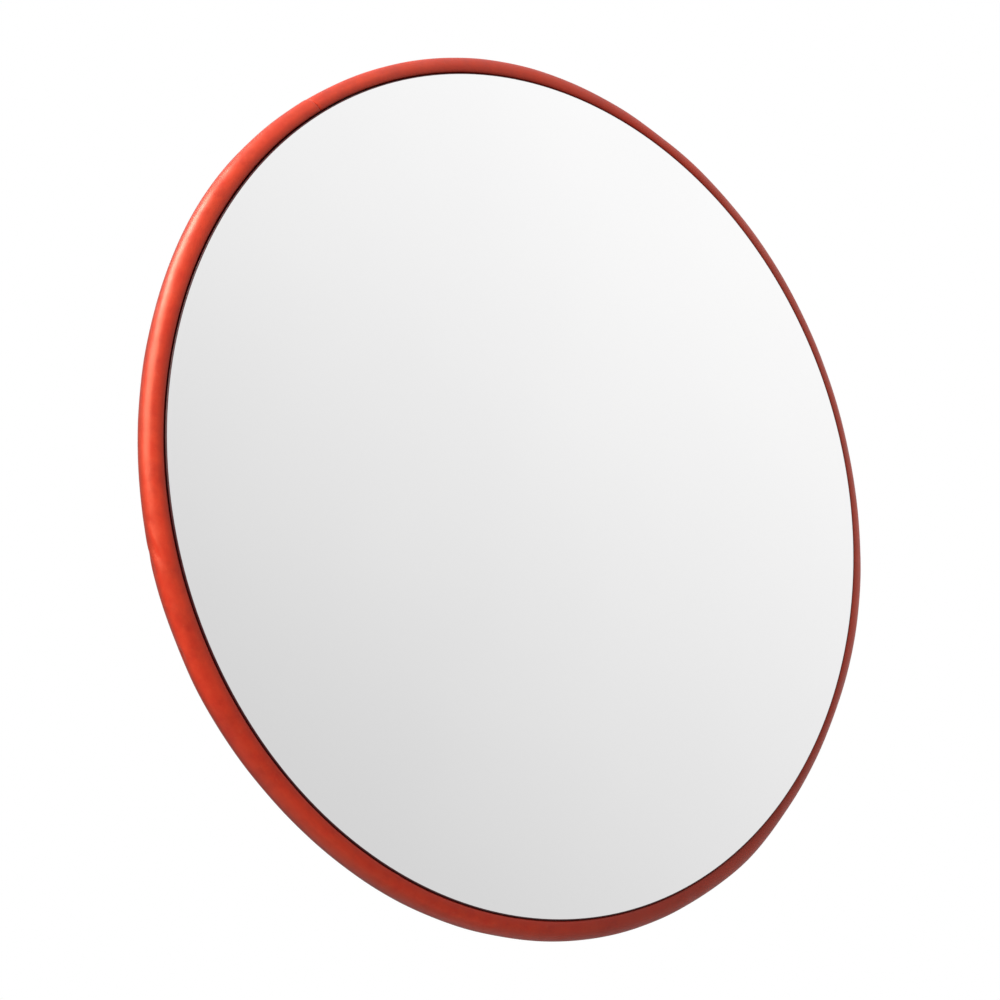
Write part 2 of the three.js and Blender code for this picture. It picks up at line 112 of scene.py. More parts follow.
class Finish:
    """A Principled material with short ways to add its patterns, on Object coordinates."""

    def __init__(self, name, **sockets):
        self.material = bpy.data.materials.new(name)
        self.material.use_nodes = True
        self.tree = self.material.node_tree
        self.shader = self.tree.nodes["Principled BSDF"]
        self.place = self.tree.nodes.new("ShaderNodeTexCoord").outputs["Object"]
        for socket, value in sockets.items():
            self.shader.inputs[socket.replace("_", " ")].default_value = value

    def node(self, kind, **values):
        made = self.tree.nodes.new(kind)
        for key, value in values.items():
            if key in made.inputs.keys():
                made.inputs[key].default_value = value
            else:
                setattr(made, key, value)
        return made

    def join(self, source, target):
        self.tree.links.new(source, target)

    def stretched(self, scale):
        mapping = self.node("ShaderNodeMapping")
        mapping.inputs["Scale"].default_value = scale
        self.join(self.place, mapping.inputs["Vector"])
        return mapping.outputs["Vector"]

    def noise(self, scale, detail=4.0, roughness=0.55, place=None):
        made = self.node("ShaderNodeTexNoise", Scale=scale, Detail=detail, Roughness=roughness)
        self.join(place or self.place, made.inputs["Vector"])
        return made.outputs["Fac"]

    def cells(self, scale, output="Color"):
        made = self.node("ShaderNodeTexVoronoi", Scale=scale)
        self.join(self.place, made.inputs["Vector"])
        return made.outputs[output]

    def ramp(self, source, *stops):
        made = self.node("ShaderNodeValToRGB")
        band = made.color_ramp
        while len(band.elements) < len(stops):
            band.elements.new(0.5)
        for element, (at, colour) in zip(band.elements, stops):
            element.position = at
            element.color = (*colour, 1.0) if len(colour) == 3 else colour
        self.join(source, made.inputs["Fac"])
        return made.outputs["Color"]

    def spread(self, source, low, high, start=0.3, end=0.7):
        made = self.node("ShaderNodeMapRange")
        made.inputs["From Min"].default_value = start
        made.inputs["From Max"].default_value = end
        made.inputs["To Min"].default_value = low
        made.inputs["To Max"].default_value = high
        self.join(source, made.inputs["Value"])
        return made.outputs["Result"]

    def slope(self, direction, start, end):
        """From 0 to 1 along a direction, between two distances from the origin."""
        along_it = self.node("ShaderNodeVectorMath", operation="DOT_PRODUCT")
        along_it.inputs[1].default_value = direction
        self.join(self.place, along_it.inputs[0])
        made = self.spread(along_it.outputs["Value"], 0.0, 1.0, start, end)
        made.node.interpolation_type = "SMOOTHSTEP"
        return made

    def mixed(self, factor, first, second):
        """Two colours mixed. The Mix node's colour sockets are its inputs 6 and 7 and its output 2."""
        made = self.node("ShaderNodeMix", data_type="RGBA")
        self.join(factor, made.inputs["Factor"])
        for value, socket in ((first, made.inputs[6]), (second, made.inputs[7])):
            if isinstance(value, tuple):
                socket.default_value = (*value, 1.0)
            else:
                self.join(value, socket)
        return made.outputs[2]

    def colour(self, source):
        self.join(source, self.shader.inputs["Base Color"])

    def roughness(self, source):
        self.join(source, self.shader.inputs["Roughness"])

    def bump(self, source, strength, distance, chained=None):
        made = self.node("ShaderNodeBump", Strength=strength, Distance=distance)
        self.join(source, made.inputs["Height"])
        if chained is not None:
            self.join(chained, made.inputs["Normal"])
        self.join(made.outputs["Normal"], self.shader.inputs["Normal"])
        return made.outputs["Normal"]


def silvered_face():
    finish = Finish("silvered_face", Metallic=1.0, Roughness=0.035)
    haze = finish.noise(3.0, detail=3.0)
    finish.colour(finish.ramp(haze, (0.3, (0.905, 0.903, 0.905)), (0.7, (0.93, 0.928, 0.928))))
    dust_and_shade = finish.noise(60.0, detail=6.0, roughness=0.7)
    finish.roughness(finish.spread(dust_and_shade, 0.025, 0.06, 0.35, 0.75))
    finish.bump(finish.noise(6.0, detail=1.0), 0.04, 0.0006)
    return finish.material


def lens_edge():
    finish = Finish("lens_edge", Roughness=0.35)
    # Dark back coat, tinted red as a painted reflection of the red strip in the silvered step.
    stain = finish.noise(180.0)
    finish.colour(finish.ramp(stain, (0.3, (0.050, 0.006, 0.008)), (0.7, (0.085, 0.012, 0.014))))
    return finish.material


def trim_pvc():
    finish = Finish("trim_pvc", Roughness=0.4)
    finish.shader.inputs["Specular IOR Level"].default_value = 0.66
    finish.shader.inputs["Specular Tint"].default_value = (1.0, 0.53, 0.35, 1.0)
    broad = finish.noise(9.0, detail=3.0)
    base = finish.ramp(broad, (0.32, (0.58, 0.021, 0.010)), (0.68, (0.70, 0.037, 0.015)))
    fine = finish.noise(140.0, detail=5.0, roughness=0.65)
    patches = finish.noise(58.0, detail=3.0, roughness=0.6)
    deeper = finish.mixed(finish.spread(patches, 0.45, 0.0, 0.34, 0.52), base, (0.42, 0.012, 0.009))
    mottled = finish.mixed(finish.spread(fine, 0.0, 0.42), deeper, (0.78, 0.071, 0.024))
    rubs = finish.noise(420.0, detail=2.0)
    scuffed = finish.mixed(finish.spread(rubs, 0.0, 0.10, 0.62, 0.8), mottled, (0.80, 0.26, 0.15))
    # Paler towards the upper left: sun fading, and a painted highlight on the side the lamps light.
    lit_side_fade_and_highlight = finish.slope((-0.86, 0.0, 0.50), 0.10 * MIRROR_R, 0.95 * MIRROR_R)
    faded = finish.mixed(finish.spread(lit_side_fade_and_highlight, 0.0, 0.04, 0.0, 1.0), scuffed, (0.86, 0.26, 0.14))
    # Painted shade: darker towards the lower right, the side away from the lamps.
    lower_right_shade_side = finish.slope((0.62, 0.0, -0.78), 0.66 * MIRROR_R, 0.98 * MIRROR_R)
    lower_right_shaded = finish.mixed(finish.spread(lower_right_shade_side, 0.0, 0.6, 0.0, 1.0), faded, (0.16, 0.012, 0.010))
    # Painted shade: the back of the bead darkened, so its outer edge darkens as it turns away.
    bead_rear_shade_side = finish.slope((0.0, 1.0, 0.0), TRIM_Y - 0.42 * BEAD_R, TRIM_Y + 0.3 * BEAD_R)
    bead_rear_shaded = finish.mixed(finish.spread(bead_rear_shade_side, 0.0, 0.66, 0.0, 1.0), lower_right_shaded, (0.15, 0.022, 0.012))
    flat = finish.node("ShaderNodeVectorMath", operation="MULTIPLY")
    flat.inputs[1].default_value = (1.0, 0.0, 1.0)
    finish.join(finish.place, flat.inputs[0])
    from_middle = finish.node("ShaderNodeVectorMath", operation="LENGTH")
    finish.join(flat.outputs["Vector"], from_middle.inputs[0])
    distance = from_middle.outputs["Value"]
    # Painted shade: darker in the groove where the bead meets the lens.
    lens_groove_shade = finish.spread(distance, 0.5, 0.0, BEAD_CENTRE_R - 1 * MM, BEAD_CENTRE_R + 4 * MM)
    lens_groove_shaded = finish.mixed(lens_groove_shade, bead_rear_shaded, (0.27, 0.010, 0.011))
    # Painted shade: the outer edge of the bead darkened on the underside.
    outermost = finish.spread(distance, 0.0, 1.0, MIRROR_R - 4 * MM, MIRROR_R)
    underneath = finish.slope((0.0, 0.0, -1.0), 0.5 * MIRROR_R, 0.9 * MIRROR_R)
    underside_edge_shade_mask = finish.node("ShaderNodeMath", operation="MULTIPLY")
    finish.join(outermost, underside_edge_shade_mask.inputs[0])
    finish.join(underneath, underside_edge_shade_mask.inputs[1])
    underside_edge_shade = finish.spread(underside_edge_shade_mask.outputs["Value"], 0.0, 0.6, 0.0, 1.0)
    underside_edge_shaded = finish.mixed(underside_edge_shade, lens_groove_shaded, (0.20, 0.014, 0.009))
    # Painted shade: the right side darkened and greyed, away from the lamps.
    right_side_shade_slope = finish.slope((0.93, 0.0, 0.36), 0.6 * MIRROR_R, 0.95 * MIRROR_R)
    dust_and_shade = finish.spread(right_side_shade_slope, 0.0, 0.18, 0.0, 1.0)
    finish.colour(finish.mixed(dust_and_shade, underside_edge_shaded, (0.28, 0.17, 0.14)))
    finish.roughness(finish.spread(fine, 0.33, 0.46))
    grain = finish.bump(finish.noise(600.0, detail=2.0), 0.05, 0.0001)
    ripple = finish.bump(finish.noise(70.0, detail=2.0), 0.3, 0.0010, grain)
    finish.bump(finish.noise(24.0, detail=2.0), 0.5, 0.003, ripple)
    return finish.material


def shell_plastic():
    finish = Finish("shell_plastic", Roughness=0.45)
    broad = finish.noise(5.0, detail=4.0)
    base = finish.ramp(broad, (0.3, (0.56, 0.050, 0.018)), (0.7, (0.68, 0.072, 0.025)))
    chalk = finish.noise(22.0, detail=6.0, roughness=0.7)
    faded = finish.mixed(finish.spread(chalk, 0.0, 0.25, 0.45, 0.8), base, (0.78, 0.20, 0.12))
    streaks = finish.noise(30.0, detail=4.0, place=finish.stretched((6.0, 1.0, 0.35)))
    grimy = finish.mixed(finish.spread(streaks, 0.0, 0.35, 0.56, 0.78), faded, (0.26, 0.035, 0.02))
    finish.colour(grimy)
    finish.roughness(finish.spread(chalk, 0.38, 0.6))
    pebble = finish.bump(finish.noise(1400.0, detail=2.0), 0.25, 0.00025)
    finish.bump(finish.noise(12.0, detail=2.0), 0.08, 0.002, pebble)
    return finish.material


def galvanised():
    finish = Finish("galvanised", Metallic=0.85, Roughness=0.55)
    spangle = finish.cells(130.0)
    grey = finish.node("ShaderNodeRGBToBW")
    finish.join(spangle, grey.inputs["Color"])
    flakes = finish.ramp(grey.outputs["Val"], (0.2, (0.29, 0.30, 0.305)), (0.8, (0.46, 0.47, 0.475)))
    cloud = finish.noise(26.0, detail=6.0, roughness=0.7)
    dulled = finish.mixed(finish.spread(cloud, 0.0, 0.6, 0.4, 0.75), flakes, (0.38, 0.38, 0.37))
    white_rust = finish.noise(75.0, detail=8.0, roughness=0.75)
    stained = finish.mixed(finish.spread(white_rust, 0.0, 0.5, 0.6, 0.75), dulled, (0.56, 0.56, 0.54))
    finish.colour(stained)
    finish.roughness(finish.spread(grey.outputs["Val"], 0.46, 0.64, 0.1, 0.9))
    coat = finish.bump(cloud, 0.15, 0.0008)
    finish.bump(finish.noise(600.0, detail=3.0), 0.1, 0.0002, coat)
    return finish.material


def zinc_plate():
    finish = Finish("zinc_plate", Metallic=1.0, Roughness=0.3)
    tint = finish.noise(90.0, detail=4.0)
    base = finish.ramp(tint, (0.3, (0.42, 0.43, 0.445)), (0.7, (0.54, 0.535, 0.50)))
    spots = finish.noise(260.0, detail=6.0, roughness=0.7)
    tarnished = finish.mixed(finish.spread(spots, 0.0, 0.5, 0.6, 0.78), base, (0.27, 0.24, 0.19))
    finish.colour(tarnished)
    finish.roughness(finish.spread(spots, 0.34, 0.52))
    finish.bump(finish.noise(1200.0, detail=2.0), 0.08, 0.0001)
    return finish.material


def black_rubber():
    finish = Finish("black_rubber", Roughness=0.8)
    dust_and_shade = finish.noise(60.0, detail=6.0, roughness=0.7)
    finish.colour(finish.ramp(dust_and_shade, (0.35, (0.016, 0.016, 0.017)), (0.75, (0.060, 0.057, 0.053))))
    finish.roughness(finish.spread(dust_and_shade, 0.7, 0.92))
    finish.bump(finish.noise(900.0, detail=3.0), 0.3, 0.0002)
    return finish.material


def closed_cell_foam():
    finish = Finish("closed_cell_foam", Roughness=0.95)
    pores = finish.cells(1500.0, output="Distance")
    finish.colour(finish.ramp(pores, (0.0, (0.012, 0.012, 0.013)), (0.6, (0.05, 0.05, 0.052))))
    finish.bump(pores, 0.5, 0.0003)
    return finish.material


def nylon():
    finish = Finish("nylon", Roughness=0.5)
    age = finish.noise(45.0, detail=4.0)
    finish.colour(finish.ramp(age, (0.3, (0.62, 0.58, 0.48)), (0.7, (0.76, 0.73, 0.65))))
    finish.bump(finish.noise(700.0, detail=2.0), 0.1, 0.0002)
    return finish.material


SILVERED = silvered_face()
LENS_EDGE = lens_edge()
TRIM_PVC = trim_pvc()
SHELL = shell_plastic()
GALVANISED = galvanised()
ZINC = zinc_plate()
RUBBER = black_rubber()
FOAM = closed_cell_foam()
NYLON = nylon()


# ---------------------------------------------------------------- making meshes


def tidy(bm):
    bmesh.ops.remove_doubles(bm, verts=bm.verts, dist=1e-7)
    bmesh.ops.recalc_face_normals(bm, faces=bm.faces)
    return bm


def arc(middle, radius, start, end, steps):
    """Points on a circle, from one angle to another in degrees."""
    angles = [math.radians(start + (end - start) * i / steps) for i in range(steps + 1)]
    return [(middle[0] + radius * math.cos(a), middle[1] + radius * math.sin(a)) for a in angles]


def rounded(corners, closed=True, steps=3):
    """A line through (x, y, radius) corners, each of them rounded off by its radius."""
    line = []
    count = len(corners)
    for i, (x, y, radius) in enumerate(corners):
        end_point = not closed and i in (0, count - 1)
        if radius == 0 or end_point:
            line.append((x, y))
            continue
        corner = Vector((x, y))
        before = Vector(corners[i - 1][:2]) - corner
        after = Vector(corners[(i + 1) % count][:2]) - corner
        start = corner + before.normalized() * radius
        end = corner + after.normalized() * radius
        for k in range(steps + 1):
            t = k / steps
            point = start * (1 - t) ** 2 + corner * 2 * t * (1 - t) + end * t ** 2
            line.append(tuple(point))
    return line


def spun(outline, steps, closed=True, angle=TURN, rise=0.0):
    """An outline of (radius, height) points turned about Z, and raised as it turns."""
    bm = bmesh.new()
    verts = [bm.verts.new((r, 0, z)) for r, z in outline]
    pairs = list(zip(verts, verts[1:]))
    if closed:
        pairs.append((verts[-1], verts[0]))
    edges = [bm.edges.new(pair) for pair in pairs]
    whole = angle == TURN and rise == 0
    geometry = verts + edges
    if not whole:
        geometry = [bm.faces.new(verts)] + geometry
    bmesh.ops.spin(bm, geom=geometry, cent=(0, 0, 0), axis=(0, 0, 1), dvec=(0, 0, rise / steps),
                   angle=angle, steps=steps, use_merge=whole)
    return tidy(bm)


def moved(bm, matrix):
    bmesh.ops.transform(bm, matrix=matrix, verts=bm.verts)
    return bm


def joined(*parts):
    """Several closed meshes as one."""
    whole = bmesh.new()
    for part in parts:
        mesh = bpy.data.meshes.new("joined")
        part.to_mesh(mesh)
        part.free()
        whole.from_mesh(mesh)
        bpy.data.meshes.remove(mesh)
    return whole


def as_object(name, bm):
    mesh = bpy.data.meshes.new(name)
    bm.to_mesh(mesh)
    bm.free()
    made = bpy.data.objects.new(name, mesh)
    bpy.context.scene.collection.objects.link(made)
    return made


def settled(made):
    """A bmesh of an object with its modifiers applied. The object is removed."""
    bpy.context.view_layer.update()
    graph = bpy.context.evaluated_depsgraph_get()
    mesh = bpy.data.meshes.new_from_object(made.evaluated_get(graph))
    bm = bmesh.new()
    bm.from_mesh(mesh)
    bpy.data.meshes.remove(mesh)
    bpy.data.objects.remove(made)
    return bm


def combined(bm, others, operation):
    """Cut, join or intersect a closed mesh with others."""
    body = as_object("body", bm)
    tools = [as_object("tool", other) for other in others]
    for tool in tools:
        step = body.modifiers.new("combine", "BOOLEAN")
        step.operation = operation
        step.solver = "EXACT"
        step.object = tool
    result = settled(body)
    for tool in tools:
        bpy.data.objects.remove(tool)
    return result


def eased(bm, width, segments=2, angle=35):
    """All sharp edges rounded off."""
    body = as_object("body", bm)
    step = body.modifiers.new("ease", "BEVEL")
    step.width = width
    step.segments = segments
    step.limit_method = "ANGLE"
    step.angle_limit = math.radians(angle)
    step.use_clamp_overlap = True
    return settled(body)


def pin(radius, length, steps=32):
    """A plain cylinder along Z, centred."""
    bm = bmesh.new()
    bmesh.ops.create_cone(bm, cap_ends=True, segments=steps, radius1=radius, radius2=radius, depth=length)
    return bm


def drills(kind, radius, place, length=THROUGH):
    """A cutter for each of a kind's four bolts, put in place by a function of the bolt's centre."""
    return [moved(pin(radius, length), place(centre(f"{kind}_bolt_{i}"))) for i in range(1, 5)]


def in_plate(at):
    """A bolt's place in a plate that still lies flat."""
    return Matrix.Translation((at.x, at.z, 0))


def box(size):
    bm = bmesh.new()
    bmesh.ops.create_cube(bm, size=1.0, matrix=Matrix.Diagonal((*size, 1.0)))
    return bm


def rounded_plate(width, corner, thickness):
    """A square plate with round corners in the XY plane, from 0 to its thickness."""
    bm = bmesh.new()
    bmesh.ops.create_grid(bm, x_segments=1, y_segments=1, size=width / 2)
    bmesh.ops.bevel(bm, geom=bm.verts[:], offset=corner, segments=8, affect="VERTICES",
                    profile=0.5, material=-1)
    raised = bmesh.ops.extrude_face_region(bm, geom=bm.faces[:])
    top = [item for item in raised["geom"] if isinstance(item, bmesh.types.BMVert)]
    bmesh.ops.translate(bm, verts=top, vec=(0, 0, thickness))
    return tidy(bm)


def lug(end_radius, root_width, reach, thickness):
    """A tapered plate, round about the origin, with its square root towards +X."""
    bm = bmesh.new()
    for z in (-thickness / 2, thickness / 2):
        bmesh.ops.create_circle(bm, segments=64, radius=end_radius, matrix=Matrix.Translation((0, 0, z)))
        for y in (-root_width / 2, root_width / 2):
            bm.verts.new((reach, y, z))
    hull = bmesh.ops.convex_hull(bm, input=bm.verts[:])
    spare = hull["geom_interior"] + hull["geom_unused"]
    bmesh.ops.delete(bm, geom=[g for g in spare if isinstance(g, bmesh.types.BMVert)], context="VERTS")
    bmesh.ops.dissolve_limit(bm, angle_limit=math.radians(1), verts=bm.verts[:], edges=bm.edges[:])
    return tidy(bm)


def weld(path, radius, closed=True):
    """A rippled bead of weld along a path of points."""
    line = bpy.data.curves.new("weld", "CURVE")
    line.dimensions = "3D"
    line.bevel_depth = radius
    line.bevel_resolution = 2
    line.use_fill_caps = not closed
    spline = line.splines.new("POLY")
    spline.points.add(len(path) - 1)
    spline.use_cyclic_u = closed
    run = 0.0
    for i, point in enumerate(path):
        run += (Vector(point) - Vector(path[i - 1])).length if i else 0.0
        spline.points[i].co = (*point, 1.0)
        spline.points[i].radius = 0.86 + 0.2 * abs(math.sin(math.pi * run / WELD_RIPPLE))
    made = bpy.data.objects.new("weld", line)
    bpy.context.scene.collection.objects.link(made)
    return tidy(settled(made))


def piece(name, bm, node, *materials, sharp=32):
    """Finish a mesh as a named piece that stands for a CAD node."""
    made = as_object(name, bm)
    for material in materials:
        made.data.materials.append(material)
    for face in made.data.polygons:
        face.use_smooth = True
    made.data.set_sharp_from_angle(angle=math.radians(sharp))
    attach(made, BODY_OF[node])
    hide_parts(node)
    return made


FACING = Matrix.Rotation(math.radians(90), 4, "X")  # +Z of a turned piece becomes the mirror's front, -Y


def about_mirror(bm):
    """A piece turned about Z, with its height counted forwards from the trim's middle plane."""
    return moved(bm, Matrix.Translation((0, TRIM_Y, 0)) @ FACING)


# ---------------------------------------------------------------- the mirror head's round pieces

ROUND_STEPS = 256
TRIM_STEPS = 720
SHELL_STEPS = 384


def dome_height(r):
    edge = math.sqrt(DOME_R ** 2 - LENS_STEP_R ** 2)
    return LENS_STEP_FRONT + math.sqrt(DOME_R ** 2 - r ** 2) - edge


LENS_FLANGE_TOP = TRIM_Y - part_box("lens_seal")[0].y + GAP + LENS_T
SHELL_FLANGE_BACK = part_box("back_shell")[0].y - TRIM_Y + 2.7 * MM


# The lens has settled a little to one side and down in its strip (across, up, ahead)
LENS_SETTLED = (0.2 * MM, -0.3 * MM, 0.0)


def make_lens():
    rings = 40
    corner = 0.8 * MM
    front = [(LENS_STEP_R * i / rings, dome_height(LENS_STEP_R * i / rings)) for i in range(rings)]
    inside = LENS_STEP_R - LENS_T
    back = [(inside * i / rings, dome_height(inside * i / rings) - LENS_T) for i in range(rings)]
    brow = LENS_STEP_R - corner - 0.2 * MM
    edge = rounded([
        (*front[-1], 0),
        (brow, dome_height(brow), 0),
        (LENS_STEP_R, LENS_STEP_FRONT, corner),
        (LENS_STEP_R, LENS_FLANGE_TOP, 0.5 * MM),
        (FLANGE_R - 0.2 * MM, LENS_FLANGE_TOP, 0.4 * MM),
        (FLANGE_R - 0.2 * MM, LENS_FLANGE_TOP - LENS_T, 0.4 * MM),
        (inside, LENS_FLANGE_TOP - LENS_T, 0.6 * MM),
        (inside, dome_height(inside) - LENS_T, 0.8 * MM),
        (*back[-1], 0),
    ], closed=False, steps=4)
    bm = spun(front[:-1] + edge + back[-2::-1], ROUND_STEPS, closed=False)
    for face in bm.faces:
        middle = face.calc_center_median()
        in_step = middle.xy.length > LENS_STEP_R - corner
        face.material_index = 1 if in_step or face.normal.z < 0 else 0
    bmesh.ops.translate(bm, verts=bm.verts, vec=LENS_SETTLED)
    piece("domed_lens", about_mirror(bm), "mirror_lens", SILVERED, LENS_EDGE, sharp=50)


def make_seal():
    low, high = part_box("lens_seal")
    outer = (high.x - low.x) / 2
    front, back = TRIM_Y - low.y, TRIM_Y - high.y
    ease = 0.4 * MM
    outline = rounded([
        (outer - 9 * MM, back, ease), (outer, back, ease),
        (outer, front, ease), (outer - 9 * MM, front, ease),
    ])
    piece("foam_seal_ring", about_mirror(spun(outline, ROUND_STEPS)), "lens_seal", FOAM)


# Where the soft strip shows handling: (turn in degrees, half width, depth, side of the bead in degrees,
# half length round the bead, slant in degrees of turn for each degree of side)
TRIM_DENTS = [
    (195.5, 0.8, 0.8, 18, 30, 0.06),
    (196.6, 0.7, 1.3, -20, 18, 0.06),
    (194.2, 0.7, -0.55, 30, 22, 0.07),
    (193.0, 2.6, 0.6, 46, 34, 0.0),
    (199.0, 1.6, -0.35, 12, 24, 0.03),
    (208.0, 0.6, 1.2, -12, 14, 0.03),
    (206.0, 5.0, 0.7, -24, 30, 0.0),
    (247.0, 0.8, 0.5, 60, 22, 0.04),
    (248.0, 0.5, -0.4, 92, 14, 0.0),
    (68.0, 4.0, 0.4, 20, 38, 0.0),
    (145.0, 1.4, 0.35, 30, 30, -0.04),
    (171.0, 2.2, 0.3, 20, 36, 0.03),
    (230.0, 3.0, 0.3, 30, 34, -0.03),
    (318.0, 4.5, 0.5, 25, 38, 0.0),
    (158.0, 5.0, 0.35, 60, 38, 0.0),
]
# Where the strip was pulled on tight or left full: (turn in degrees, half width, how far it strays)
TRIM_SWELLS = [
    (92, 14, 1.2),
    (124, 12, -1.0),
    (150, 9, 0.9),
    (206, 13, 1.5),
    (236, 14, -0.6),
    (284, 15, 1.2),
    (309, 8, 1.0),
    (332, 12, -1.1),
    (352, 9, 0.4),
    (22, 16, -0.5),
]
TRIM_TIGHT = 320.0
TRIM_SEAM = 127.0
TRIM_GAP = 0.4 * MM


def trim_wander(turn):
    """How far the strip strays from true, outwards and forwards, at an angle round the mirror."""
    at = Vector((math.cos(turn), math.sin(turn), 0.0))
    out = 0.2 * noise.noise(at * 9.0)
    for middle, width, swell in TRIM_SWELLS:
        along = ((math.degrees(turn) - middle + 180) % 360 - 180) / width
        out += swell * math.exp(-along ** 2)
    tight = ((math.degrees(turn) - TRIM_TIGHT + 180) % 360 - 180) / 20
    ahead = 0.5 * noise.noise(at * 2.1 + Vector((7, 0, 0))) + 0.15 * noise.noise(at * 8.0 - Vector((3, 0, 0)))
    ahead -= 1.1 * math.exp(-tight ** 2)
    return out * MM, ahead * MM


def make_trim():
    lip = 1.0 * MM
    front_lip_r = LENS_STEP_R + 0.5 * MM
    back_lip_r = 283.5 * MM
    start = math.degrees(math.acos((front_lip_r + lip - BEAD_CENTRE_R) / BEAD_R))
    end = -math.degrees(math.acos((back_lip_r + lip - BEAD_CENTRE_R) / BEAD_R))
    bead = arc((BEAD_CENTRE_R, 0), BEAD_R, start, end, 34)
    channel_front = LENS_FLANGE_TOP + GAP
    channel_back = -SHELL_FLANGE_BACK - GAP
    channel_r = FLANGE_R + GAP
    inside = rounded([
        (*bead[-1], 0),
        (back_lip_r, bead[-1][1] + 0.7 * MM, 0.5 * MM),
        (back_lip_r, channel_back, 0.5 * MM),
        (channel_r, channel_back, 0.4 * MM),
        (channel_r, channel_front, 0.4 * MM),
        (front_lip_r, channel_front, 0.4 * MM),
        (front_lip_r, bead[0][1] - 0.7 * MM, 0.5 * MM),
        (*bead[0], 0),
    ], closed=False)
    gap_angle = TRIM_GAP / MIRROR_R
    bm = spun(bead + inside[1:-1], TRIM_STEPS, angle=TURN - gap_angle)
    seam = math.radians(TRIM_SEAM)
    to_seam = Matrix.Rotation(seam + gap_angle / 2, 3, "Z")
    bmesh.ops.rotate(bm, verts=bm.verts, cent=(0, 0, 0), matrix=to_seam)
    ends = [e for e in bm.edges if len(e.link_faces) == 2 and e.calc_face_angle(0) > math.radians(60)
            and min(len(f.verts) for f in e.link_faces) == 4 and max(len(f.verts) for f in e.link_faces) > 4]
    bmesh.ops.bevel(bm, geom=ends, offset=0.45 * MM, segments=2, affect="EDGES", profile=0.5, material=-1)
    for vert in bm.verts:
        turn = math.atan2(vert.co.y, vert.co.x)
        outward = Vector((math.cos(turn), math.sin(turn), 0))
        across = vert.co.xy.length - BEAD_CENTRE_R
        side = math.degrees(math.atan2(vert.co.z, across))
        out, ahead = trim_wander(turn)
        from_seam = (math.degrees(turn) - TRIM_SEAM + 180) % 360 - 180
        step = 0.2 * MM * math.exp(-abs(from_seam) / 2.2)
        out += step if from_seam > 0 else -0.5 * step
        skin = min(1.0, max(0.0, (math.hypot(across, vert.co.z) / BEAD_R - 0.75) / 0.2))
        pressed = 0.0
        for at, width, depth, dent_side, length, slant in TRIM_DENTS:
            off_side = (side - dent_side + 180) % 360 - 180
            along = ((math.degrees(turn) - at - slant * off_side + 180) % 360 - 180) / width
            round_bead = off_side / length
            pressed += depth * MM * math.exp(-along ** 2 - round_bead ** 2)
        inward = (outward * across + Vector((0, 0, vert.co.z))).normalized() * pressed * skin
        out *= min(1.0, max(0.0, (across / BEAD_R + 0.2) / 0.8))
        vert.co += (outward * out + Vector((0, 0, ahead))) * skin - inward
    piece("trim_strip", about_mirror(bm), "edge_trim", TRIM_PVC, sharp=40)


def crown_depth(r):
    share = (r - SHELL_CROWN_R) / (SHELL_SHOULDER_R - SHELL_CROWN_R)
    return SHELL_CROWN_DEPTH - (SHELL_CROWN_DEPTH - SHELL_SHOULDER_DEPTH) * share ** 2


def smooth_step(value):
    t = min(1.0, max(0.0, value))
    return t * t * (3 - 2 * t)


def gather_to_ribs(bm):
    """Move the columns of a spun mesh closer together about each rib, and raise the ribs."""
    sector = TURN / RIB_COUNT
    for vert in bm.verts:
        r = vert.co.xy.length
        if r < SHELL_SEAT_R:
            continue
        turn = math.atan2(vert.co.y, vert.co.x)
        off = (turn - sector / 2) % sector
        off = off - sector if off > sector / 2 else off
        drawn = off - 0.82 * sector / TURN * math.sin(TURN * off / sector)
        fade = smooth_step((r - SHELL_SEAT_R) / (14 * MM))
        new_turn = turn + (drawn - off) * fade
        vert.co.x, vert.co.y = r * math.cos(new_turn), r * math.sin(new_turn)
        side = abs(drawn) * r / MM
        body = 1 - smooth_step((side - 3.0) / 3.2)
        ends = smooth_step((r - RIB_FROM_R) / (10 * MM)) * smooth_step((RIB_TO_R - r) / (14 * MM))
        vert.co.z -= RIB_H * body * ends


def shell_outline(inset):
    """The dish's outside, or its inside when inset by the wall."""
    steps = 26
    wall_r = 282.9 * MM - inset
    line = [(wall_r, -SHELL_FLANGE_BACK + 0.2 * MM), (wall_r - 0.7 * MM, -11 * MM + inset / 3)]
    for i in range(steps + 1):
        r = SHELL_SHOULDER_R + (SHELL_CROWN_R - SHELL_SHOULDER_R) * i / steps
        line.append((r - inset / 3, -crown_depth(r) + inset))
    return line


